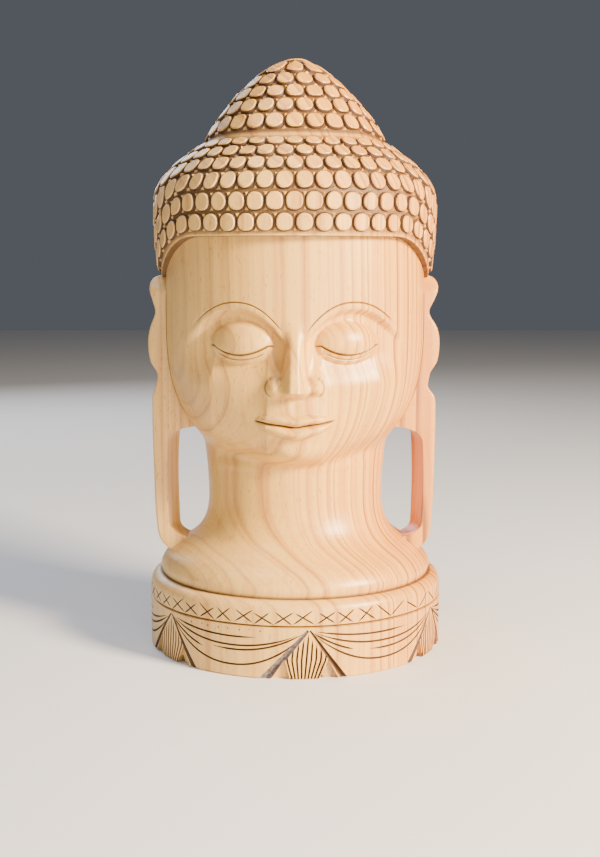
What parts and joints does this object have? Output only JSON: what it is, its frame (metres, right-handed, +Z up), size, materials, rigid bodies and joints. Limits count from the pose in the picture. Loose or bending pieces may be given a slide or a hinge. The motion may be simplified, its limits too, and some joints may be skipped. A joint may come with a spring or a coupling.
{
  "type": "buddha head on lotus base",
  "caption": "Carved wooden head with closed eyes, rows of curls up to a topknot, long pierced ear lobes and a round base with draped swags and fans.",
  "frame": {"origin": "middle of the flat underside of the round base", "axes": "+Z up; the face looks along -Y; +X is to the right of someone facing it"},
  "size_m": [0.1548, 0.15, 0.305],
  "materials": {
    "wood": "pale close-grained wood, hand carved and rubbed smooth"
  },
  "bodies": {
    "root": {"carved_head": "wood"}
  },
  "joints": []
}
